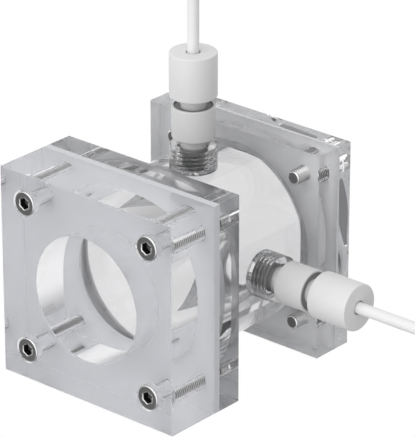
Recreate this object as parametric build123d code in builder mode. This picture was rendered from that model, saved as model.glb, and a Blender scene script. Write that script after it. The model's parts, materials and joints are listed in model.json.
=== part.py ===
from build123d import *
from math import sqrt
import os

# A clear acrylic flow cell for electrochemistry, bolted together along the Y axis.
# The origin is the centre of the front face, +Y runs to the back and +Z is up.

# Thin film of air or cement left in every joint between clear pieces
film = 0.02

# Square plates, all flush with each other
plate_side = 60.0
edge_chamfer = 0.2
aperture_diameter = 35.5
chamber_diameter = 44.0

# Thickness of each layer, from front to back
block_thickness = 17.0
cushion_gasket_thickness = 0.4
window_thickness = 1.2
window_gasket_thickness = 0.4
flange_thickness = 8.0
tube_length = 32.6
cover_gasket_thickness = 0.8
cover_thickness = 4.8

# Glued chamber tube with two flats for the ports
tube_wall = 4.0
flat_wall = 2.0
tube_spigot = 1.5

# M4 socket head cap screws, four at the front and four at the back
screw_spacing = 43.0
screw_diameter = 4.0
screw_head_diameter = 7.0
screw_head_height = 4.0
screw_hex_width = 3.0
screw_hex_depth = 2.0
screw_tip_chamfer = 0.4
screw_head_chamfer = 0.4
front_screw_length = 20.0
rear_screw_length = 10.0
screw_clearance = 0.15
thread_clearance = 0.05
counterbore_clearance = 0.25
counterbore_depth = 4.0

# Threaded boss glued on each flat
boss_diameter = 13.0
boss_height = 6.7
boss_spigot_diameter = 9.5
boss_floor = 0.6
boss_mouth_chamfer = 0.4
inlet_diameter = 4.0

# Gland screwed into the boss, with its seal below the stem
gland_thread_diameter = 8.0
gland_neck_diameter = 6.9
gland_collar_diameter = 11.8
gland_collar_length = 9.0
gland_collar_gap = 2.3
gland_relief_length = 0.8
gland_chamfer = 0.3
seal_cord = 1.2
seal_mean_diameter = 5.6
seat_clearance = 0.05

# Cap screwed onto the gland's nose, which clamps the tube by a ferrule
cap_diameter = 13.0
cap_length = 12.5
cap_gap = 2.7
cap_thread_depth = 7.8
cap_edge_chamfer = 0.3
cap_hole_clearance = 0.3
nose_length = 6.8
nose_relief_length = 1.0
cone_depth = 2.0
cone_mouth_diameter = 6.2
ferrule_lip_length = 0.9
ferrule_lip_diameter = 5.6
ferrule_tip_wall = 0.25
ferrule_clearance = 0.3

# Hard straight tube stub through each gland
tube_stub_diameter = 3.2
tube_stub_bore = 1.6
tube_stub_free_length = 25.0
tube_stub_recess = 0.5
running_clearance = 0.05

# Stations along Y, worked out from the layers
cushion_gasket_front = block_thickness + film
window_front = cushion_gasket_front + cushion_gasket_thickness + film
window_gasket_front = window_front + window_thickness + film
front_flange_front = window_gasket_front + window_gasket_thickness + film
tube_front = front_flange_front + flange_thickness
rear_flange_front = tube_front + tube_length
cover_gasket_front = rear_flange_front + flange_thickness + film
cover_front = cover_gasket_front + cover_gasket_thickness + film
cell_back = cover_front + cover_thickness
port_station = tube_front + tube_length / 2

# Heights along a port's axis, measured from the cell's axis
flat_height = chamber_diameter / 2 + flat_wall
boss_base = flat_height + film
boss_top = boss_base + boss_height
boss_spigot_end = chamber_diameter / 2
thread_floor = boss_base + boss_floor
stem_end = thread_floor + seal_cord + 2 * seat_clearance
collar_bottom = boss_top + gland_collar_gap
collar_top = collar_bottom + gland_collar_length
cap_bottom = collar_top + cap_gap
cap_top = cap_bottom + cap_length
nose_top = cap_bottom + nose_length
cap_floor = cap_bottom + cap_thread_depth
tube_stub_start = stem_end + tube_stub_recess
tube_stub_end = cap_top + tube_stub_free_length

screw_hole_radius = screw_diameter / 2 + screw_clearance
tapped_hole_radius = screw_diameter / 2 + thread_clearance
counterbore_radius = screw_head_diameter / 2 + counterbore_clearance
tube_radius = chamber_diameter / 2 + tube_wall
stub_hole_radius = tube_stub_diameter / 2 + running_clearance
port_axis = Axis((0, port_station, 0), (0, 0, 1))
side_turn = Axis((0, port_station, 0), (0, 1, 0))


def across(y):
    """The plane across the cell at a station, seen from the front."""
    return Plane.XZ.offset(-y)


def across_from_behind(y):
    """The plane across the cell at a station, seen from the back."""
    return Plane((0, y, 0), x_dir=(-1, 0, 0), z_dir=(0, 1, 0))


port_section = Plane.XZ.offset(-port_station)


def square_plate(station, thickness, opening_diameter, hole_radius):
    """A flush square layer with a round opening and four screw holes."""
    with BuildPart() as plate:
        with BuildSketch(across(station)):
            Rectangle(plate_side, plate_side)
            if opening_diameter:
                Circle(opening_diameter / 2, mode=Mode.SUBTRACT)
            with GridLocations(screw_spacing, screw_spacing, 2, 2):
                Circle(hole_radius, mode=Mode.SUBTRACT)
        extrude(amount=-thickness)
    return plate


def chamfer_rim(plate, station):
    """Break the four outer edges of a plate's face at a station."""
    corner_reach = plate_side / 2 - edge_chamfer
    face = plate.faces().filter_by(Axis.Y).sort_by(lambda f: abs(f.center().Y - station))[0]
    rim = [e for e in face.outer_wire().edges() if e.length > corner_reach]
    chamfer(rim, edge_chamfer)


def save(piece, name):
    """Label a finished piece and write it under its own name."""
    piece.label = name
    export_step(piece, f"parts/{name}.step")


# Front block with the aperture, and its four counterbored screw holes
with BuildPart() as front_block:
    with BuildSketch(across(0)):
        Rectangle(plate_side, plate_side)
        Circle(aperture_diameter / 2, mode=Mode.SUBTRACT)
    extrude(amount=-block_thickness)
    chamfer_rim(front_block, 0)
    with Locations(across(0)):
        with GridLocations(screw_spacing, screw_spacing, 2, 2):
            CounterBoreHole(screw_hole_radius, counterbore_radius, counterbore_depth)

# Window between a cushion gasket and a sealing gasket
cushion_gasket = square_plate(
    cushion_gasket_front, cushion_gasket_thickness, aperture_diameter, screw_hole_radius
)
window = square_plate(window_front, window_thickness, 0, screw_hole_radius)
window_gasket = square_plate(
    window_gasket_front, window_gasket_thickness, chamber_diameter, screw_hole_radius
)
cover_gasket = square_plate(
    cover_gasket_front, cover_gasket_thickness, chamber_diameter, screw_hole_radius
)

# Front flange, tapped through, with a shallow socket for the tube's end
with BuildPart() as front_flange:
    add(square_plate(front_flange_front, flange_thickness, chamber_diameter, tapped_hole_radius).part)
    with BuildSketch(across(tube_front - tube_spigot)):
        Circle(tube_radius + film)
    extrude(amount=-tube_spigot, mode=Mode.SUBTRACT)
    chamfer_rim(front_flange, tube_front)

# Rear flange, the same plate turned round
with BuildPart() as rear_flange:
    add(square_plate(rear_flange_front, flange_thickness, chamber_diameter, tapped_hole_radius).part)
    with BuildSketch(across(rear_flange_front)):
        Circle(tube_radius + film)
    extrude(amount=-tube_spigot, mode=Mode.SUBTRACT)
    chamfer_rim(rear_flange, rear_flange_front)

# Chamber tube, milled flat on top and on one side between the flanges
with BuildPart() as chamber_tube:
    with BuildSketch(across(tube_front - tube_spigot + film)):
        Circle(tube_radius)
        Circle(chamber_diameter / 2, mode=Mode.SUBTRACT)
    extrude(amount=-(tube_length + 2 * (tube_spigot - film)))
    with BuildSketch(across(tube_front)):
        flat_cut = tube_radius - flat_height
        with Locations((0, flat_height + flat_cut)):
            Rectangle(2 * tube_radius, 2 * flat_cut)
        with Locations((flat_height + flat_cut, 0)):
            Rectangle(2 * flat_cut, 2 * tube_radius)
    extrude(amount=-tube_length, mode=Mode.SUBTRACT)
    with BuildSketch(Plane.XY) as port_hole:
        with Locations((0, port_station)):
            Circle(boss_spigot_diameter / 2 + film)
    extrude(amount=tube_radius, mode=Mode.SUBTRACT)
    with BuildSketch(Plane.YZ):
        with Locations((port_station, 0)):
            Circle(boss_spigot_diameter / 2 + film)
    extrude(amount=tube_radius, mode=Mode.SUBTRACT)

# Rear cover, a blank plate with its screw heads sunk flush in the back
with BuildPart() as rear_cover:
    with BuildSketch(across(cover_front)):
        Rectangle(plate_side, plate_side)
    extrude(amount=-cover_thickness)
    chamfer_rim(rear_cover, cell_back)
    with Locations(across_from_behind(cell_back)):
        with GridLocations(screw_spacing, screw_spacing, 2, 2):
            CounterBoreHole(screw_hole_radius, counterbore_radius, counterbore_depth)


def cap_screw(seat, x, z, length):
    """A socket head cap screw with its head's underside on a seat plane."""
    hex_radius = screw_hex_width / sqrt(3)
    with BuildPart() as screw:
        with BuildSketch(seat):
            with Locations((x, z)):
                Circle(screw_diameter / 2)
        extrude(amount=-length)
        tip = screw.faces().sort_by(Axis(seat.origin, seat.z_dir))[0]
        chamfer(tip.edges(), screw_tip_chamfer)
        with BuildSketch(seat):
            with Locations((x, z)):
                Circle(screw_head_diameter / 2)
        extrude(amount=screw_head_height)
        crown = screw.faces().sort_by(Axis(seat.origin, seat.z_dir))[-1]
        chamfer(crown.edges(), screw_head_chamfer)
        with BuildSketch(seat.offset(screw_head_height)):
            with Locations((x, z)):
                RegularPolygon(hex_radius, 6, rotation=30)
        extrude(amount=-screw_hex_depth, mode=Mode.SUBTRACT)
    return screw


front_seat = across(counterbore_depth)
rear_seat = across_from_behind(cell_back - counterbore_depth)
half_spacing = screw_spacing / 2
corners = {
    "top_left": (-half_spacing, half_spacing),
    "top_right": (half_spacing, half_spacing),
    "bottom_left": (-half_spacing, -half_spacing),
    "bottom_right": (half_spacing, -half_spacing),
}

# The ports' turned pieces are half sections in the plane through the top port's axis,
# with the radius along X and the height along Z

# Boss with the threaded hole, its floor, and a spigot through the tube's wall
with BuildPart() as top_boss:
    with BuildSketch(port_section):
        with BuildLine():
            Polyline(
                (inlet_diameter / 2, boss_spigot_end),
                (boss_spigot_diameter / 2, boss_spigot_end),
                (boss_spigot_diameter / 2, boss_base),
                (boss_diameter / 2, boss_base),
                (boss_diameter / 2, boss_top),
                (gland_thread_diameter / 2 + running_clearance + boss_mouth_chamfer, boss_top),
                (gland_thread_diameter / 2 + running_clearance, boss_top - boss_mouth_chamfer),
                (gland_thread_diameter / 2 + running_clearance, thread_floor),
                (inlet_diameter / 2, thread_floor),
                close=True,
            )
        make_face()
    revolve(axis=port_axis)

# Seal ring squeezed between the boss floor and the gland's stem, eight-sided in section
with BuildPart() as top_seal:
    with BuildSketch(port_section):
        with Locations((seal_mean_diameter / 2, thread_floor + seat_clearance + seal_cord / 2)):
            RegularPolygon(seal_cord / 2, 8, major_radius=False)
    revolve(axis=port_axis)

# Gland: threaded stem, neck, collar, neck, and threaded nose with a cone for the ferrule
with BuildPart() as top_gland:
    with BuildSketch(port_section):
        with BuildLine():
            Polyline(
                (stub_hole_radius, stem_end),
                (gland_thread_diameter / 2 - gland_chamfer, stem_end),
                (gland_thread_diameter / 2, stem_end + gland_chamfer),
                (gland_thread_diameter / 2, boss_top - gland_relief_length),
                (gland_neck_diameter / 2, boss_top - gland_relief_length),
                (gland_neck_diameter / 2, collar_bottom),
                (gland_collar_diameter / 2 - gland_chamfer, collar_bottom),
                (gland_collar_diameter / 2, collar_bottom + gland_chamfer),
                (gland_collar_diameter / 2, collar_top - gland_chamfer),
                (gland_collar_diameter / 2 - gland_chamfer, collar_top),
                (gland_neck_diameter / 2, collar_top),
                (gland_neck_diameter / 2, cap_bottom + nose_relief_length),
                (gland_thread_diameter / 2, cap_bottom + nose_relief_length),
                (gland_thread_diameter / 2, nose_top - gland_chamfer),
                (gland_thread_diameter / 2 - gland_chamfer, nose_top),
                (cone_mouth_diameter / 2, nose_top),
                (stub_hole_radius, nose_top - cone_depth),
                close=True,
            )
        make_face()
    revolve(axis=port_axis)

# Ferrule round the tube, its cone in the nose and its lip under the cap's floor
ferrule_top = cap_floor - seat_clearance
with BuildPart() as top_ferrule:
    with BuildSketch(port_section):
        with BuildLine():
            Polyline(
                (tube_stub_diameter / 2, nose_top - cone_depth + 2 * ferrule_clearance),
                (tube_stub_diameter / 2 + ferrule_tip_wall, nose_top - cone_depth + 2 * ferrule_clearance),
                (ferrule_lip_diameter / 2, ferrule_top - ferrule_lip_length),
                (ferrule_lip_diameter / 2, ferrule_top),
                (tube_stub_diameter / 2, ferrule_top),
                close=True,
            )
        make_face()
    revolve(axis=port_axis)

# Cap with its thread open below and the tube's hole through its floor
with BuildPart() as top_cap:
    with BuildSketch(port_section):
        with BuildLine():
            Polyline(
                (gland_thread_diameter / 2 + running_clearance, cap_bottom),
                (cap_diameter / 2, cap_bottom),
                (cap_diameter / 2, cap_top),
                (tube_stub_diameter / 2 + cap_hole_clearance, cap_top),
                (tube_stub_diameter / 2 + cap_hole_clearance, cap_floor),
                (gland_thread_diameter / 2 + running_clearance, cap_floor),
                close=True,
            )
        make_face()
    revolve(axis=port_axis)
    outer_rims = top_cap.edges().filter_by(GeomType.CIRCLE).sort_by(SortBy.RADIUS)[-2:]
    chamfer(outer_rims, cap_edge_chamfer)

# Hard tube stub, cut square at both ends
with BuildPart() as top_tube:
    with BuildSketch(Plane.XY.offset(tube_stub_start)):
        with Locations((0, port_station)):
            Circle(tube_stub_diameter / 2)
            Circle(tube_stub_bore / 2, mode=Mode.SUBTRACT)
    extrude(amount=tube_stub_end - tube_stub_start)

os.makedirs("parts", exist_ok=True)
save(front_block.part, "front_block")
save(cushion_gasket.part, "cushion_gasket")
save(window.part, "window")
save(window_gasket.part, "window_gasket")
save(front_flange.part, "front_flange")
save(chamber_tube.part, "chamber_tube")
save(rear_flange.part, "rear_flange")
save(cover_gasket.part, "cover_gasket")
save(rear_cover.part, "rear_cover")
for corner, (x, z) in corners.items():
    save(cap_screw(front_seat, x, z, front_screw_length).part, f"front_screw_{corner}")
    save(cap_screw(rear_seat, -x, z, rear_screw_length).part, f"rear_screw_{corner}")

# Both ports hold the same pieces: the side port's are the top port's, turned about the cell's axis
port_pieces = {
    "boss": top_boss,
    "seal": top_seal,
    "gland": top_gland,
    "ferrule": top_ferrule,
    "cap": top_cap,
    "tube": top_tube,
}
for name, piece in port_pieces.items():
    save(piece.part, f"top_{name}")
    save(piece.part.rotate(side_turn, 90), f"side_{name}")
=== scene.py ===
import json
import math

import bmesh
import bpy
from mathutils import Matrix, Vector

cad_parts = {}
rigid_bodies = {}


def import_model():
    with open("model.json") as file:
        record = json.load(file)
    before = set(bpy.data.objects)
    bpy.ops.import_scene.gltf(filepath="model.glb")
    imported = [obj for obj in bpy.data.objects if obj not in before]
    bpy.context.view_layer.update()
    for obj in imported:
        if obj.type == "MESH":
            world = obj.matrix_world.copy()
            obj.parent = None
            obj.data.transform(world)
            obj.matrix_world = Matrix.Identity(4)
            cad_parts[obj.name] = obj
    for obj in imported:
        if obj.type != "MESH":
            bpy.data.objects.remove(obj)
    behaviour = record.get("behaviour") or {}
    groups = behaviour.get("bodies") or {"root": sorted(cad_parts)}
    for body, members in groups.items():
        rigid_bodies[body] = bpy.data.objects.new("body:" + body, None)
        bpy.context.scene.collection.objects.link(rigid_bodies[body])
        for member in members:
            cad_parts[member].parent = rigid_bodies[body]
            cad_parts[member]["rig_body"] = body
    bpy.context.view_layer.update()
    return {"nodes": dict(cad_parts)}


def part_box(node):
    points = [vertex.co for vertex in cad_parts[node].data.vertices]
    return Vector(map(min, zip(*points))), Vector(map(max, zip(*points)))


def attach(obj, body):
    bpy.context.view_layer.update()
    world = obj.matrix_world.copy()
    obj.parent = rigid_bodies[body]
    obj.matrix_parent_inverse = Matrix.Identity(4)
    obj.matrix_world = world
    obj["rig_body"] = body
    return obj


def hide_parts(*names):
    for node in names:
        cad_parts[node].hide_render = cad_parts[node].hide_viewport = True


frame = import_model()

scene = bpy.context.scene

# Sizes are in millimetres, as in the drawing, and become metres when a mesh is made
MM = 0.001
X, Y, Z = range(3)


def span(node, axis):
    """Where a node starts and ends along X, Y or Z, in millimetres."""
    low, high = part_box(node)
    return low[axis] / MM, high[axis] / MM


# A cutter runs past what it cuts, and a joint or a test of a face's place allows a hair
past = 0.5
hair = 0.01

# The CAD model leaves a film of air between the layers; soft gaskets wet the plates, so they close it
film = 0.02
wetting = film + hair

# Cemented joints have no air in them: the pieces run into each other by a hair
cemented = -hair

# Stations of the layers along the cell's axis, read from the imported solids
plate_half = span("front_block", X)[1]
block_front, block_back = span("front_block", Y)
front_flange_front, front_flange_back = span("front_flange", Y)
tube_front, tube_back = span("chamber_tube", Y)
rear_flange_front, rear_flange_back = span("rear_flange", Y)
cover_front, cover_back = span("rear_cover", Y)
port_station = sum(span("top_cap", Y)) / 2

# Openings and edges of the plates
aperture_radius = 17.75
chamber_radius = 22.0
plate_edge = 0.2

# Sides that stand for a full round
glass_sides = 192
port_sides = 96
hole_sides = 64
screw_sides = 48
tap_sides = 32

# Chamber tube
tube_radius = span("chamber_tube", X)[1]
tube_socket_radius = tube_radius + cemented
flat_wall = 2.0
flat_height = chamber_radius + flat_wall
boss_spigot_radius = 4.75

# M4 socket head cap screws
screw_place = 21.5
screw_radius = 2.0
screw_pitch = 0.7
screw_thread_depth = 0.43
screw_hole_radius = 2.15
screw_head_radius = 3.5
screw_head_height = 4.0
screw_hex_width = 3.0
screw_hex_depth = 2.0
counterbore_radius = 3.75
counterbore_depth = 4.0
tap_clearance = 0.04
front_seat = block_front + counterbore_depth
rear_seat = cover_back - counterbore_depth

# Ports: heights from the cell's axis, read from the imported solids
boss_bottom, boss_top = span("top_boss", Z)
gland_bottom, gland_top = span("top_gland", Z)
cap_bottom, cap_top = span("top_cap", Z)
stub_bottom, stub_top = span("top_tube", Z)
ferrule_bottom, ferrule_top = span("top_ferrule", Z)
seal_bottom, seal_top = span("top_seal", Z)

# M8 x 1.25 thread of the bosses, glands and caps
port_radius = 4.0
port_pitch = 1.25
port_thread_depth = 0.72
port_clearance = 0.05
tapped_radius = port_radius + port_clearance

# Bosses
boss_radius = span("top_boss", X)[1]
boss_seat = flat_height + cemented
boss_floor_wall = 0.6
boss_floor = boss_seat + boss_floor_wall
inlet_radius = 2.0

# Glands
gland_neck_radius = 3.45
neck_length = 2.3
collar_length = 9.0
collar_radius = 5.9
collar_bottom = boss_top + neck_length
collar_top = collar_bottom + collar_length
collar_seat_radius = 5.3
collar_seat_depth = 0.4
nose_relief = 1.0
stem_relief = 0.8
cone_depth = 2.0
cone_mouth_radius = 3.1

# Caps
cap_radius = 6.5
cap_depth = 7.8
cap_floor = cap_bottom + cap_depth
cap_hole_radius = 1.9

# Tube stubs and ferrules
stub_radius = 1.6
stub_bore_radius = 0.8
stub_hole_radius = 1.65
ferrule_lip_radius = 2.8
ferrule_lip_length = 0.9
ferrule_tip_wall = 0.25

# Share of a pitch, and share of the thread's depth above its root, along a 60 degree thread
thread_form = (
    (0.0, 1.0),
    (0.125, 1.0),
    (0.30, 0.5),
    (0.48, 0.02),
    (0.565, 0.0),
    (0.65, 0.02),
    (0.825, 0.5),
)

# Points nearer than a weld become one, and an edge shorter than a sliver goes
weld = 1e-5
sliver = 1e-6

# Where things stand: a turned piece is made about Z, then placed by one of these
quarter_turn = math.radians(90)
towards_front = Matrix.Rotation(quarter_turn, 4, "X")
towards_back = Matrix.Rotation(-quarter_turn, 4, "X")
port_placings = {
    "top": Matrix.Translation((0, port_station, 0)),
    "side": Matrix.Translation((0, port_station, 0)) @ Matrix.Rotation(quarter_turn, 4, "Y"),
}

# Places of the four screws of an end, seen from the front
corners = {
    "top_left": (-screw_place, screw_place),
    "top_right": (screw_place, screw_place),
    "bottom_left": (-screw_place, -screw_place),
    "bottom_right": (screw_place, -screw_place),
}


class Thread:
    """A stretch of helical thread on a turned piece, from one height to another."""

    def __init__(self, start, end, crest, depth, pitch, low_limit=None, high_limit=None):
        self.start, self.end = start, end
        self.crest, self.depth, self.pitch = crest, depth, pitch
        self.low_limit, self.high_limit = low_limit, high_limit

    def radius(self, height, turn):
        """The radius at a height, and at a share of a full turn round the axis."""
        rounding = 1e-9
        share = (height / self.pitch - turn) % 1.0
        shares = [s for s, _ in thread_form] + [1.0]
        levels = [v for _, v in thread_form] + [thread_form[0][1]]
        k = max(i for i in range(len(thread_form)) if shares[i] <= share + rounding)
        along = (share - shares[k]) / (shares[k + 1] - shares[k])
        level = levels[k] + along * (levels[k + 1] - levels[k])
        radius = self.crest - self.depth * (1 - level)
        if self.high_limit:
            radius = min(radius, self.high_limit(height))
        if self.low_limit:
            radius = max(radius, self.low_limit(height))
        return radius

    def rows(self):
        """Heights of the rows before they climb, from one pitch below the start to the end."""
        first = math.floor(self.start / self.pitch) - 1
        last = math.ceil(self.end / self.pitch) + 1
        climb = [self.pitch * (turn + share) for turn in range(first - 1, last) for share, _ in thread_form]
        inside = [u for u in climb if self.start - self.pitch < u < self.end]
        return [self.start - self.pitch] + inside + [self.end]


def turned(outline, sides, closed=True):
    """A turned solid about the Z axis, in millimetres.

    The outline is a list of (radius, height) points and Thread stretches that climb.
    A radius may be a function of the angle. An open outline starts and ends on the axis.
    """
    mesh = bmesh.new()

    def ring(radius_at, height_at):
        made = []
        for side in range(sides):
            angle = 2 * math.pi * side / sides
            radius = radius_at(angle)
            point = (radius * math.cos(angle), radius * math.sin(angle), height_at(angle))
            made.append(mesh.verts.new(point))
        return made

    def bridge(lower, upper, shift_lower=None, shift_upper=None):
        """Join two rings; at the seam a thread's rows join the rows one pitch higher."""
        for side in range(sides):
            after = (side + 1) % sides
            seam = after == 0
            next_lower = shift_lower if seam and shift_lower is not None else lower[after]
            next_upper = shift_upper if seam and shift_upper is not None else upper[after]
            points = [lower[side], next_lower, next_upper, upper[side]]
            if len(set(points)) == len(points):
                mesh.faces.new(points)

    def helix(thread):
        """The rows of a thread, joined; its first and last row meet the rings below and above."""
        heights = thread.rows()
        made = []
        for base in heights:
            def height_at(angle, base=base):
                climbed = base + thread.pitch * angle / (2 * math.pi)
                return min(max(climbed, thread.start), thread.end)

            def radius_at(angle):
                return thread.radius(height_at(angle), angle / (2 * math.pi))

            made.append(ring(radius_at, height_at))
        above = []
        for base in heights:
            target = base + thread.pitch
            nearest = min(range(len(heights)), key=lambda i: abs(heights[i] - target))
            above.append(nearest if heights[nearest] < thread.end else len(heights) - 1)
        for i in range(len(heights) - 1):
            bridge(made[i], made[i + 1], made[above[i]][0], made[above[i + 1]][0])
        return made[0], made[-1]

    first = last = None
    for step in outline:
        if isinstance(step, Thread):
            start, end = helix(step)
        else:
            radius, height = step
            level = radius if callable(radius) else (lambda angle, radius=radius: radius)
            start = end = ring(level, lambda angle, height=height: height)
        if last is not None:
            bridge(last, start)
        first = first or start
        last = end
    if closed:
        bridge(last, first)
    bmesh.ops.remove_doubles(mesh, verts=mesh.verts, dist=weld)
    bmesh.ops.dissolve_degenerate(mesh, dist=sliver, edges=mesh.edges)
    bmesh.ops.recalc_face_normals(mesh, faces=mesh.faces)
    return mesh


def rounded(radius, height, edge, upward, steps=5):
    """Points of a rounded outer rim, from the side face to the end face."""
    points = []
    for i in range(steps + 1):
        turn = math.pi / 2 * i / steps
        drop = edge * (1 - math.sin(turn))
        points.append((radius - edge + edge * math.cos(turn), height - drop if upward else height + drop))
    return points


def block(low, high, edge_front=0.0, edge_back=0.0):
    """A square-cornered block from corner to corner, with its front and back rims broken."""
    mesh = bmesh.new()
    loops = []
    steps = [(low[Y], edge_front)]
    if edge_front:
        steps.append((low[Y] + edge_front, 0.0))
    if edge_back:
        steps.append((high[Y] - edge_back, 0.0))
    steps.append((high[Y], edge_back))
    for station, inset in steps:
        loop = [
            (low[X] + inset, station, low[Z] + inset),
            (high[X] - inset, station, low[Z] + inset),
            (high[X] - inset, station, high[Z] - inset),
            (low[X] + inset, station, high[Z] - inset),
        ]
        loops.append([mesh.verts.new(point) for point in loop])
    for lower, upper in zip(loops, loops[1:]):
        for i in range(len(lower)):
            j = (i + 1) % len(lower)
            mesh.faces.new((lower[i], lower[j], upper[j], upper[i]))
    mesh.faces.new(loops[0])
    mesh.faces.new(loops[-1])
    bmesh.ops.recalc_face_normals(mesh, faces=mesh.faces)
    return mesh


def drill(radius, low, high, sides):
    """A plain round cutter about Z."""
    return turned([(0.0, low), (radius, low), (radius, high), (0.0, high)], sides, closed=False)


def to_object(name, mesh, placing=None):
    """Make an object from a mesh in millimetres, placed and brought to metres."""
    matrix = Matrix.Scale(MM, 4) @ (placing or Matrix.Identity(4))
    mesh.transform(matrix)
    data = bpy.data.meshes.new(name)
    mesh.to_mesh(data)
    mesh.free()
    made = bpy.data.objects.new(name, data)
    scene.collection.objects.link(made)
    return made


def cut(base, cutters, name):
    """Take the cutters out of a base, all closed solids, and return one finished object."""
    for cutter in cutters:
        step = base.modifiers.new("cut", "BOOLEAN")
        step.operation = "DIFFERENCE"
        step.solver = "MANIFOLD"
        step.object = cutter
    bpy.context.view_layer.update()
    evaluated = base.evaluated_get(bpy.context.evaluated_depsgraph_get())
    data = bpy.data.meshes.new_from_object(evaluated)
    data.name = name
    made = bpy.data.objects.new(name, data)
    scene.collection.objects.link(made)
    for used in [base, *cutters]:
        bpy.data.objects.remove(used)
    return made


def mark(mesh, index, radius, low, high):
    """Give a turned mesh's faces within a radius and between two heights one of its materials."""
    for face in mesh.faces:
        middle = face.calc_center_median()
        if math.hypot(middle.x, middle.y) < radius and low < middle.z < high:
            face.material_index = index


def assign(piece, tests):
    """Give a finished piece's faces their second, third... material where a test says so."""
    for face in piece.data.polygons:
        face.material_index = 0
        for index, test in enumerate(tests):
            if test(face.center / MM):
                face.material_index = index + 1


def near_screw(point):
    """Whether a point in millimetres lies on the wall of one of the screw holes."""
    wall_reach = 0.3
    reach = screw_hole_radius + wall_reach
    return any(math.hypot(point.x - x, point.z - z) < reach for x, z in corners.values())


def on_bore(point):
    """Whether a point in millimetres lies on the bore that the chamber is made of."""
    facet_reach = 0.1
    return abs(math.hypot(point.x, point.z) - chamber_radius) < facet_reach


def on_rim(point):
    """Whether a point in millimetres lies on a layer's outer edge."""
    return max(abs(point.x), abs(point.z)) > plate_half - hair


def on_flat(point):
    """Whether a point in millimetres lies on one of the tube's two milled flats."""
    return max(point.x, point.z) > flat_height - hair and math.hypot(point.x, point.z) < tube_radius


def shade(piece):
    """Smooth shading that stays crisp at real edges, on a mesh that is in metres by now."""
    sharp_angle = math.radians(28)
    weld_in_metres = 2e-8
    mesh = bmesh.new()
    mesh.from_mesh(piece.data)
    bmesh.ops.remove_doubles(mesh, verts=mesh.verts, dist=weld_in_metres)
    for face in mesh.faces:
        face.smooth = True
    for edge in mesh.edges:
        edge.smooth = len(edge.link_faces) == 2 and edge.calc_face_angle(0) < sharp_angle
    mesh.to_mesh(piece.data)
    mesh.free()


def finish_piece(piece, node, slot, materials):
    """A finished piece stands for its CAD node and rides on the node's body."""
    shade(piece)
    indices = [face.material_index for face in piece.data.polygons]
    piece.data.materials.clear()
    for material in materials:
        piece.data.materials.append(material)
    piece.data.polygons.foreach_set("material_index", indices)
    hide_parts(node)
    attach(piece, frame["nodes"][node]["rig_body"])


# Shader helpers
def grey(level):
    """A neutral colour."""
    return level, level, level


def new_material(name):
    """A material with a Principled shader, and its node tree."""
    material = bpy.data.materials.new(name)
    material.use_nodes = True
    tree = material.node_tree
    return material, tree, tree.nodes["Principled BSDF"]


def noise(tree, scale, detail):
    """A noise texture in object space."""
    coordinates = tree.nodes.new("ShaderNodeTexCoord")
    texture = tree.nodes.new("ShaderNodeTexNoise")
    texture.inputs["Scale"].default_value = scale
    texture.inputs["Detail"].default_value = detail
    tree.links.new(coordinates.outputs["Object"], texture.inputs["Vector"])
    return texture.outputs["Fac"]


def remap(tree, value, low, high):
    """Bring a 0 to 1 value into a range."""
    step = tree.nodes.new("ShaderNodeMapRange")
    step.inputs["To Min"].default_value = low
    step.inputs["To Max"].default_value = high
    tree.links.new(value, step.inputs["Value"])
    return step.outputs["Result"]


def smooth_step(tree, value, starts, full):
    """Rise softly from 0 to 1 as a value goes from where it starts to where it is full."""
    step = tree.nodes.new("ShaderNodeMapRange")
    step.interpolation_type = "SMOOTHSTEP"
    step.inputs["From Min"].default_value = starts
    step.inputs["From Max"].default_value = full
    tree.links.new(value, step.inputs["Value"])
    return step.outputs["Result"]


def blend(tree, factor, first, second):
    """Go from one colour to another as a value goes from 0 to 1."""
    mix = tree.nodes.new("ShaderNodeMix")
    mix.data_type = "RGBA"
    mix.inputs["A"].default_value = (*first, 1)
    mix.inputs["B"].default_value = (*second, 1)
    tree.links.new(factor, mix.inputs["Factor"])
    return mix.outputs["Result"]


def bump(tree, shader, value, strength, distance):
    """Use a value as the height of the surface."""
    step = tree.nodes.new("ShaderNodeBump")
    step.inputs["Strength"].default_value = strength
    step.inputs["Distance"].default_value = distance
    tree.links.new(value, step.inputs["Height"])
    tree.links.new(step.outputs["Normal"], shader.inputs["Normal"])


def mottle(tree, shader, pattern, colour, darkest, roughness):
    """Let a pattern darken a colour to a share of itself, and roughen the surface."""
    dark = [darkest * level for level in colour]
    tree.links.new(blend(tree, pattern, dark, colour), shader.inputs["Base Color"])
    tree.links.new(remap(tree, pattern, *roughness), shader.inputs["Roughness"])


# Refractive index, and how much of its own colour clear plastic takes with each metre
clear_ior = 1.49
clear_density = 6.0


def clear_plastic(name, colour, depth_colour):
    """Polished clear plastic with faint cast waves, that takes a little colour with depth."""
    material, tree, shader = new_material(name)
    shader.inputs["Base Color"].default_value = (*colour, 1)
    shader.inputs["Transmission Weight"].default_value = 1.0
    shader.inputs["IOR"].default_value = clear_ior
    shader.inputs["Roughness"].default_value = 0.0
    bump(tree, shader, noise(tree, scale=60.0, detail=1.0), strength=1.0, distance=0.00004)
    tint = tree.nodes.new("ShaderNodeVolumeAbsorption")
    tint.inputs["Color"].default_value = (*depth_colour, 1)
    tint.inputs["Density"].default_value = clear_density
    tree.links.new(tint.outputs["Volume"], tree.nodes["Material Output"].inputs["Volume"])
    return material


def machined_plastic(name, clear, edge, starts, full, roughness):
    """Drilled, milled or tapped clear plastic with painted shade: its colour darkens and its transmission
    falls as the wall turns edge-on, so its outline reads dark.
    """
    material, tree, shader = new_material(name)
    facing = tree.nodes.new("ShaderNodeLayerWeight").outputs["Facing"]
    outline = smooth_step(tree, facing, starts, full)
    edge_transmission = remap(tree, outline, low=1.0, high=0.15)
    tree.links.new(blend(tree, outline, clear, edge), shader.inputs["Base Color"])
    tree.links.new(edge_transmission, shader.inputs["Transmission Weight"])
    shader.inputs["IOR"].default_value = clear_ior
    shader.inputs["Roughness"].default_value = roughness
    return material


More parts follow.
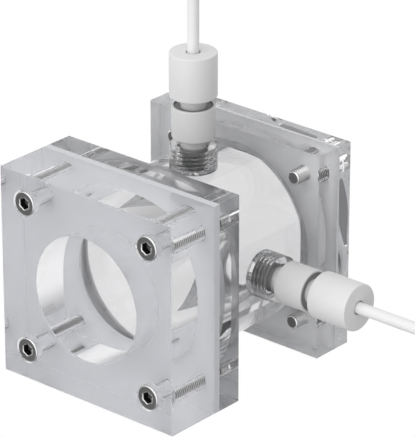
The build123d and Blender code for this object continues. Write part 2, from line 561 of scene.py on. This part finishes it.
def silicone_sheet(name, colour):
    """Soft milky sheet, very slightly uneven in tone and gloss."""
    material, tree, shader = new_material(name)
    cloud = noise(tree, scale=90.0, detail=3.0)
    mottle(tree, shader, cloud, colour, darkest=0.985, roughness=(0.48, 0.60))
    shader.inputs["IOR"].default_value = 1.41
    return material


def stainless(name, colour, roughness):
    """Stainless steel with fine turning marks."""
    material, tree, shader = new_material(name)
    shader.inputs["Metallic"].default_value = 1.0
    shader.inputs["Base Color"].default_value = (*colour, 1)
    grain = noise(tree, scale=900.0, detail=2.0)
    tree.links.new(remap(tree, grain, *roughness), shader.inputs["Roughness"])
    bump(tree, shader, grain, strength=0.15, distance=0.00001)
    return material


def white_plastic(name, colour, roughness):
    """White fluoropolymer: soft satin, faintly mottled, with a trace of turning."""
    material, tree, shader = new_material(name)
    mottle(tree, shader, noise(tree, scale=220.0, detail=4.0), colour, darkest=0.965, roughness=roughness)
    shader.inputs["IOR"].default_value = 1.36
    shader.inputs["Subsurface Weight"].default_value = 0.08
    shader.inputs["Subsurface Radius"].default_value = (1.0, 1.0, 1.0)
    shader.inputs["Subsurface Scale"].default_value = 0.0006
    bump(tree, shader, noise(tree, scale=1500.0, detail=2.0), strength=0.08, distance=0.00001)
    return material


# Clear plastic and glass
acrylic_depths = (0.93, 0.935, 0.95)
glass_depths = (0.93, 0.94, 0.94)
acrylic = clear_plastic("acrylic", grey(0.92), acrylic_depths)
# The flanges' acrylic is a lighter copy: painted light that makes up for the shade on the layers behind the
# front block
flange_acrylic_painted_light = clear_plastic("flange_acrylic_painted_light", grey(0.985), acrylic_depths)
tube_acrylic = clear_plastic("tube_acrylic", grey(0.87), acrylic_depths)
window_glass = clear_plastic("window_glass", grey(0.96), glass_depths)

# Machined walls of the clear parts, their outlines darkened with painted shade
milled_acrylic = machined_plastic(
    "milled_acrylic", (0.78, 0.78, 0.785), (0.50, 0.50, 0.51), starts=0.70, full=0.95, roughness=0.05
)
drilled_acrylic = machined_plastic(
    "drilled_acrylic", grey(0.90), grey(0.05), starts=0.55, full=0.88, roughness=0.06
)
threaded_acrylic = machined_plastic(
    "threaded_acrylic", grey(0.80), grey(0.01), starts=0.32, full=0.72, roughness=0.03
)
# The thread's roots in the bosses are dark grey: painted shade
thread_root_painted_shade = machined_plastic(
    "thread_root_painted_shade", grey(0.30), grey(0.02), starts=0.32, full=0.72, roughness=0.30
)
bored_acrylic = machined_plastic(
    "bored_acrylic", (0.60, 0.60, 0.615), (0.40, 0.40, 0.41), starts=0.60, full=0.92, roughness=0.45
)
# The rear bore is a darker copy of the bore: painted shade
rear_bore_painted_shade = machined_plastic(
    "rear_bore_painted_shade", (0.34, 0.34, 0.35), (0.26, 0.26, 0.27), starts=0.60, full=0.92, roughness=0.45
)

# Silicone sheets, and the rims of the sheets and of the window
clear_silicone = silicone_sheet("clear_silicone", (0.93, 0.94, 0.97))
# The cover's sheet is a lighter copy of the silicone: painted light that makes up for the shade the front
# layers cast on it
cover_silicone_painted_light = silicone_sheet("cover_silicone_painted_light", (0.98, 0.985, 1.0))
silicone_rim = silicone_sheet("silicone_rim", (0.60, 0.60, 0.62))
ground_glass_edge = silicone_sheet("ground_glass_edge", (0.56, 0.57, 0.585))

# Steel of the screws
steel = stainless("stainless", (0.66, 0.66, 0.65), roughness=(0.10, 0.20))
# Near black steel for the screws' sockets and thread roots: painted shade
painted_shade_steel = stainless("painted_shade_steel", grey(0.08), roughness=(0.34, 0.48))
thread_steel = stainless("thread_steel", (0.90, 0.90, 0.89), roughness=(0.32, 0.42))
tip_steel = stainless("tip_steel", grey(0.26), roughness=(0.34, 0.48))

# White plastic of the fittings, painted shade on the seat in their collars, and the seals
white_ptfe = white_plastic("white_ptfe", (0.67, 0.67, 0.665), roughness=(0.42, 0.55))
gland_ptfe = white_plastic("gland_ptfe", (0.61, 0.61, 0.605), roughness=(0.42, 0.55))
white_tube = white_plastic("white_tube", (0.74, 0.74, 0.735), roughness=(0.36, 0.48))
# Dark grey on the collar's seat: painted shade under the cap
collar_seat_painted_shade = white_plastic("collar_seat_painted_shade", grey(0.24), roughness=(0.5, 0.6))
seal_rubber = white_plastic("seal_rubber", grey(0.55), roughness=(0.5, 0.6))


def screw_placing(end, corner):
    """Placing of a screw whose local Z points out of its head, with its seat at zero."""
    x, z = corners[corner]
    if end == "front":
        return Matrix.Translation((x, front_seat, z)) @ towards_front
    return Matrix.Translation((x, rear_seat, z)) @ towards_back


def screw_length(end):
    """Length under the head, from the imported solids."""
    low, high = span(f"{end}_screw_top_left", Y)
    return high - low - screw_head_height


def screw_mesh(length):
    """A socket head cap screw with its thread, chamfered tip and hexagon socket."""
    tip_chamfer = 0.45
    head_rim = 0.45
    rim_steps = 6
    bearing_edge = 0.12
    socket_mouth = 0.12
    plain_length = 0.8
    tip = -length
    thread_end = -plain_length
    socket_radius = screw_hex_width / math.sqrt(3)

    def hexagon(angle):
        sixth = math.pi / 3
        return screw_hex_width / 2 / math.cos((angle + sixth / 2) % sixth - sixth / 2)

    def at_tip(height):
        return screw_radius - tip_chamfer + (height + length)

    thread = Thread(tip, thread_end, screw_radius, screw_thread_depth, screw_pitch, high_limit=at_tip)
    mesh = turned([
        (0.0, tip),
        thread,
        (screw_radius, thread_end),
        (screw_radius, -bearing_edge),
        (screw_radius + bearing_edge, 0.0),
        (screw_head_radius - bearing_edge, 0.0),
        (screw_head_radius, bearing_edge),
        *rounded(screw_head_radius, screw_head_height, head_rim, upward=True, steps=rim_steps),
        (socket_radius + socket_mouth, screw_head_height),
        (hexagon, screw_head_height - socket_mouth),
        (hexagon, screw_head_height - screw_hex_depth),
        (0.0, screw_head_height - screw_hex_depth - screw_hex_width / 4),
    ], screw_sides, closed=False)

    # Bright all over, but painted shade darkens the socket and the thread's roots, and the tip is duller
    bright, dark, threaded, dull = range(4)
    crest_share = 0.45
    tip_reach = 0.05
    below_socket = screw_head_height - 2 * screw_hex_depth
    root_radius = screw_radius - crest_share * screw_thread_depth
    mark(mesh, dark, socket_radius, below_socket, screw_head_height - socket_mouth)
    mark(mesh, threaded, screw_radius + past, tip, 0.0)
    mark(mesh, dark, root_radius, tip + tip_chamfer, thread_end)
    mark(mesh, bright, screw_radius, tip - past, tip + tip_reach)
    mark(mesh, dull, screw_radius - tip_chamfer + hair, tip - past, tip + hair)
    return mesh


# Screws
screw_steels = [steel, painted_shade_steel, thread_steel, tip_steel]
for end in ("front", "rear"):
    for corner in corners:
        node = f"{end}_screw_{corner}"
        piece = to_object(node + "_piece", screw_mesh(screw_length(end)), screw_placing(end, corner))
        finish_piece(piece, node, "stainless", screw_steels)


def round_cutter(name, radius, low, high):
    """A plain round cutter along the cell's axis, between two stations."""
    return to_object(name, drill(radius, low, high, glass_sides), towards_back)


def bore_cutter(radius, low, high, flare):
    """A bore's cutter through a layer, which also breaks the rim at the layer's front."""
    outline = [
        (0.0, low - past),
        (radius + flare, low - past),
        (radius + flare, low),
        (radius, low + flare),
        (radius, high + past),
        (0.0, high + past),
    ]
    return to_object("bore", turned(outline, glass_sides, closed=False), towards_back)


def clearance_holes(node):
    """Cutters of the four plain screw holes through a layer."""
    low, high = span(node, Y)
    made = []
    for x, z in corners.values():
        placing = Matrix.Translation((x, 0, z)) @ towards_back
        cutter = drill(screw_hole_radius, low - past, high + past, hole_sides)
        made.append(to_object("hole", cutter, placing))
    return made


def counterbored_holes(end, depth):
    """Cutters of the four screw holes with their counterbores, through a plate."""
    outline = [
        (0.0, -depth - past),
        (screw_hole_radius, -depth - past),
        (screw_hole_radius, 0.0),
        (counterbore_radius, 0.0),
        (counterbore_radius, counterbore_depth + past),
        (0.0, counterbore_depth + past),
    ]
    made = []
    for corner in corners:
        cutter = turned(outline, hole_sides, closed=False)
        made.append(to_object("hole", cutter, screw_placing(end, corner)))
    return made


def tapped_holes(end, low, high):
    """Cutters of the four tapped holes of a flange, in phase with the screws in them."""
    crest = screw_radius + tap_clearance
    made = []
    for corner in corners:
        thread = Thread(low - past, high + past, crest, screw_thread_depth, screw_pitch)
        cutter = turned([(0.0, low - past), thread, (0.0, high + past)], tap_sides, closed=False)
        made.append(to_object("tap", cutter, screw_placing(end, corner)))
    return made


def plate(node, slot, materials, tests, bore, cutters, edge_front=0.0, edge_back=0.0, swell=0.0):
    """A square layer less its cutters, and less its bore if it has one; a soft one swells both ways."""
    low, high = span(node, Y)
    low = low - swell
    high = high + swell
    base = to_object("base", block(
        (-plate_half, low, -plate_half), (plate_half, high, plate_half), edge_front, edge_back
    ))
    if bore:
        cutters = [*cutters, bore_cutter(bore, low, high, edge_front)]
    piece = cut(base, cutters, node + "_piece")
    assign(piece, tests)
    finish_piece(piece, node, slot, materials)


def gasket(node, material, bore):
    """A silicone sheet pressed flat against both its neighbours."""
    holes = clearance_holes(node)
    plate(node, "clear_silicone", [material, silicone_rim], [on_rim], bore, holes, swell=wetting)


# Layers, from front to back
drilled_parts = [acrylic, drilled_acrylic]
front_flange_parts = [flange_acrylic_painted_light, threaded_acrylic, bored_acrylic]
rear_flange_parts = [flange_acrylic_painted_light, threaded_acrylic, rear_bore_painted_shade]

holes = counterbored_holes("front", block_back - front_seat)
plate("front_block", "acrylic", drilled_parts, [near_screw], aperture_radius, holes, edge_front=plate_edge)

gasket("cushion_gasket", clear_silicone, aperture_radius)

holes = clearance_holes("window")
plate("window", "window_glass", [window_glass, ground_glass_edge], [on_rim], None, holes)

gasket("window_gasket", clear_silicone, chamber_radius)

socket = round_cutter("socket", tube_socket_radius, tube_front - cemented, front_flange_back + past)
holes = tapped_holes("front", front_seat - front_flange_back, front_seat - front_flange_front)
plate("front_flange", "acrylic", front_flange_parts, [near_screw, on_bore], chamber_radius,
      [socket, *holes], edge_back=plate_edge)

socket = round_cutter("socket", tube_socket_radius, rear_flange_front - past, tube_back + cemented)
holes = tapped_holes("rear", rear_flange_front - rear_seat, rear_flange_back - rear_seat)
plate("rear_flange", "acrylic", rear_flange_parts, [near_screw, on_bore], chamber_radius,
      [socket, *holes], edge_front=plate_edge)

gasket("cover_gasket", cover_silicone_painted_light, chamber_radius)

holes = counterbored_holes("rear", rear_seat - cover_front)
plate("rear_cover", "acrylic", drilled_parts, [near_screw], None, holes, edge_back=plate_edge)


def chamber_tube():
    """The cemented tube, with its two flats and two port holes."""
    base = to_object("base", drill(tube_radius, tube_front, tube_back, glass_sides), towards_back)
    reach = tube_radius + past
    flats = [
        block((-reach, front_flange_back, flat_height), (reach, rear_flange_front, reach)),
        block((flat_height, front_flange_back, -reach), (reach, rear_flange_front, reach)),
    ]
    cutters = [to_object("flat", flat) for flat in flats]
    cutters.append(round_cutter("bore", chamber_radius, tube_front - past, tube_back + past))
    for placing in port_placings.values():
        port_hole = drill(boss_spigot_radius + cemented, 0.0, reach, port_sides)
        cutters.append(to_object("port", port_hole, placing))
    piece = cut(base, cutters, "chamber_tube_piece")
    assign(piece, [on_flat])
    finish_piece(piece, "chamber_tube", "acrylic", [tube_acrylic, milled_acrylic])


chamber_tube()


def boss_outline():
    """The clear boss, with its thread open above and a spigot through the tube's wall."""
    mouth = 0.4
    edge = 0.12

    def at_mouth(height):
        return tapped_radius + (height - boss_top + mouth)

    thread = Thread(boss_floor, boss_top, tapped_radius, port_thread_depth, port_pitch, low_limit=at_mouth)
    return [
        (inlet_radius, boss_floor),
        thread,
        (boss_radius - edge, boss_top),
        (boss_radius, boss_top - edge),
        (boss_radius, boss_seat),
        (boss_spigot_radius, boss_seat),
        (boss_spigot_radius, boss_bottom),
        (inlet_radius, boss_bottom),
    ]


def mark_boss(mesh):
    """The boss is turned outside and threaded inside, and its thread's root is dark with painted shade."""
    threaded, outside, root = range(1, 4)
    root_share = 0.3
    mark(mesh, outside, boss_radius + past, boss_seat, boss_top)
    mark(mesh, root, tapped_radius, boss_floor, boss_top)
    mark(mesh, threaded, tapped_radius - root_share * port_thread_depth, boss_floor, boss_top)


def gland_outline():
    """Threaded stem, neck, collar, neck, and threaded nose with a cone for the ferrule."""
    lead = 0.5
    collar_edge = 0.3
    stem_end = boss_top - stem_relief
    nose_start = cap_bottom + nose_relief

    def at_stem(height):
        return port_radius - lead + (height - gland_bottom)

    def at_nose(height):
        return port_radius - lead + (gland_top - height)

    stem = Thread(gland_bottom, stem_end, port_radius, port_thread_depth, port_pitch, high_limit=at_stem)
    nose = Thread(nose_start, gland_top, port_radius, port_thread_depth, port_pitch, high_limit=at_nose)
    return [
        (stub_hole_radius, gland_bottom),
        stem,
        (gland_neck_radius, stem_end),
        (gland_neck_radius, collar_bottom),
        *reversed(rounded(collar_radius, collar_bottom, collar_edge, upward=False)),
        *rounded(collar_radius, collar_top, collar_edge, upward=True),
        (collar_seat_radius, collar_top),
        (collar_seat_radius, collar_top - collar_seat_depth),
        (gland_neck_radius, collar_top - collar_seat_depth),
        (gland_neck_radius, nose_start),
        nose,
        (cone_mouth_radius, gland_top),
        (stub_hole_radius, gland_top - cone_depth),
    ]


def mark_gland(mesh):
    """The seat in the gland's collar is dark: painted shade where the cap overhangs it."""
    seat = 1
    mark(mesh, seat, collar_seat_radius + hair, collar_top - collar_seat_depth - hair, collar_top - hair)


def cap_outline():
    """The cap, threaded inside, with the tube's hole through its floor."""
    mouth = 0.4
    floor_relief = 0.4
    hole_edge = 0.2
    edge = 0.35
    thread_end = cap_floor - floor_relief

    def at_mouth(height):
        return tapped_radius + mouth - (height - cap_bottom)

    return [
        Thread(cap_bottom, thread_end, tapped_radius, port_thread_depth, port_pitch, low_limit=at_mouth),
        (tapped_radius, thread_end),
        (tapped_radius, cap_floor),
        (cap_hole_radius, cap_floor),
        (cap_hole_radius, cap_top - hole_edge),
        (cap_hole_radius + hole_edge, cap_top),
        *reversed(rounded(cap_radius, cap_top, edge, upward=True)),
        *rounded(cap_radius, cap_bottom, edge, upward=False),
    ]


def ferrule_outline():
    """The ferrule's cone and lip round the tube."""
    return [
        (stub_radius + hair, ferrule_bottom),
        (stub_radius + ferrule_tip_wall, ferrule_bottom),
        (ferrule_lip_radius, ferrule_top - ferrule_lip_length),
        (ferrule_lip_radius, ferrule_top),
        (stub_radius + hair, ferrule_top),
    ]


def stub_outline():
    """The hard tube stub, cut square."""
    edge = 0.08
    return [
        (stub_bore_radius, stub_bottom),
        (stub_radius, stub_bottom),
        (stub_radius, stub_top - edge),
        (stub_radius - edge, stub_top),
        (stub_bore_radius, stub_top),
    ]


def seal_outline():
    """The seal ring, round in section, and slimmer than its seat by a share."""
    slimness = 0.92
    steps = 20
    half_seat = (seal_top - seal_bottom) / 2
    middle = (seal_top + seal_bottom) / 2
    mean = span("top_seal", X)[1] - half_seat
    cord = half_seat * slimness
    turns = [2 * math.pi * i / steps for i in range(steps)]
    return [(mean + cord * math.cos(t), middle + cord * math.sin(t)) for t in turns]


# Ports: each piece's outline, slot and materials, and the marks on it
port_pieces = {
    "boss": (boss_outline, "acrylic", [acrylic, threaded_acrylic, drilled_acrylic, thread_root_painted_shade]),
    "gland": (gland_outline, "white_ptfe", [gland_ptfe, collar_seat_painted_shade]),
    "cap": (cap_outline, "white_ptfe", [white_ptfe]),
    "ferrule": (ferrule_outline, "white_ptfe", [white_ptfe]),
    "tube": (stub_outline, "white_tube", [white_tube]),
    "seal": (seal_outline, "seal_rubber", [seal_rubber]),
}
port_marks = {"boss": mark_boss, "gland": mark_gland}
for port, placing in port_placings.items():
    for kind, (outline, slot, materials) in port_pieces.items():
        node = f"{port}_{kind}"
        mesh = turned(outline(), port_sides)
        if kind in port_marks:
            port_marks[kind](mesh)
        piece = to_object(node + "_piece", mesh, placing)
        finish_piece(piece, node, slot, materials)


# Camera, fitted to the corners of the plates in the photograph, in metres
camera_place = (0.56876, -0.61233, 0.40283)
camera_aim = (-0.59364, 0.69041, -0.41342)
camera_lens = 291.1
camera = bpy.data.objects.new("camera", bpy.data.cameras.new("camera"))
camera.location = camera_place
camera.rotation_euler = Vector(camera_aim).to_track_quat("-Z", "Y").to_euler()
camera.data.sensor_width = 36.0
camera.data.lens = camera_lens
camera.data.clip_start = 0.05
scene.collection.objects.link(camera)
scene.camera = camera

# White floor, which only the camera sees: it gives the cell no light and takes no shadow
white = (1, 1, 1, 1)
floor_half = 2.0 / MM
floor_mesh = bmesh.new()
bmesh.ops.create_grid(floor_mesh, x_segments=1, y_segments=1, size=floor_half)
floor = to_object("floor", floor_mesh, Matrix.Translation((0, 0, -plate_half)))
floor_paint = bpy.data.materials.new("floor_paint")
floor_paint.use_nodes = True
floor_tree = floor_paint.node_tree
floor_glow = floor_tree.nodes.new("ShaderNodeEmission")
floor_glow.inputs["Color"].default_value = white
floor_tree.links.new(floor_glow.outputs["Emission"], floor_tree.nodes["Material Output"].inputs["Surface"])
floor.data.materials.append(floor_paint)
for kind in ("diffuse", "glossy", "transmission", "volume_scatter", "shadow"):
    setattr(floor, "visible_" + kind, False)

# Studio light: soft patches of light and shade on a bright surround
surround = (0.97, 0.97, 0.98)
patches = (
    # direction, cosine where it starts, cosine where it is full, brightness
    ((0.0, 0.0, 1.0), 0.10, 0.95, grey(0.88)),
    ((0.44, -1.0, 0.46), 0.20, 0.90, (1.86, 1.86, 1.88)),
    ((1.0, 0.1, 0.0), 0.30, 0.95, (0.46, 0.46, 0.47)),
    ((0.0, 0.0, -1.0), 0.52, 0.82, (0.33, 0.33, 0.34)),
    ((-0.59, -0.69, -0.41), 0.88, 0.96, (0.17, 0.17, 0.175)),
)
world = bpy.data.worlds.new("studio")
scene.world = world
world.use_nodes = True
sky = world.node_tree
sky.nodes.clear()
direction = sky.nodes.new("ShaderNodeTexCoord").outputs["Generated"]
light = sky.nodes.new("ShaderNodeRGB").outputs["Color"]
light.default_value = (*surround, 1)
for towards, starts, full, brightness in patches:
    dot = sky.nodes.new("ShaderNodeVectorMath")
    dot.operation = "DOT_PRODUCT"
    dot.inputs[1].default_value = Vector(towards).normalized()
    sky.links.new(direction, dot.inputs[0])
    mix = sky.nodes.new("ShaderNodeMix")
    mix.data_type = "RGBA"
    mix.inputs["B"].default_value = (*brightness, 1)
    sky.links.new(smooth_step(sky, dot.outputs["Value"], starts, full), mix.inputs["Factor"])
    sky.links.new(light, mix.inputs["A"])
    light = mix.outputs["Result"]

# The studio lights the cell, and the camera sees a white backdrop behind it
studio = sky.nodes.new("ShaderNodeBackground")
sky.links.new(light, studio.inputs["Color"])
backdrop = sky.nodes.new("ShaderNodeBackground")
backdrop.inputs["Color"].default_value = white
seen = sky.nodes.new("ShaderNodeLightPath")
choose = sky.nodes.new("ShaderNodeMixShader")
output = sky.nodes.new("ShaderNodeOutputWorld")
sky.links.new(seen.outputs["Is Camera Ray"], choose.inputs["Fac"])
sky.links.new(studio.outputs["Background"], choose.inputs[1])
sky.links.new(backdrop.outputs["Background"], choose.inputs[2])
sky.links.new(choose.outputs["Shader"], output.inputs["Surface"])

# Light goes through many clear walls before it leaves the cell
scene.view_settings.view_transform = "Standard"
scene.cycles.max_bounces = 40
scene.cycles.transmission_bounces = 40
scene.cycles.glossy_bounces = 12
scene.cycles.diffuse_bounces = 16
scene.cycles.transparent_max_bounces = 16
scene.cycles.caustics_refractive = True
scene.cycles.caustics_reflective = True
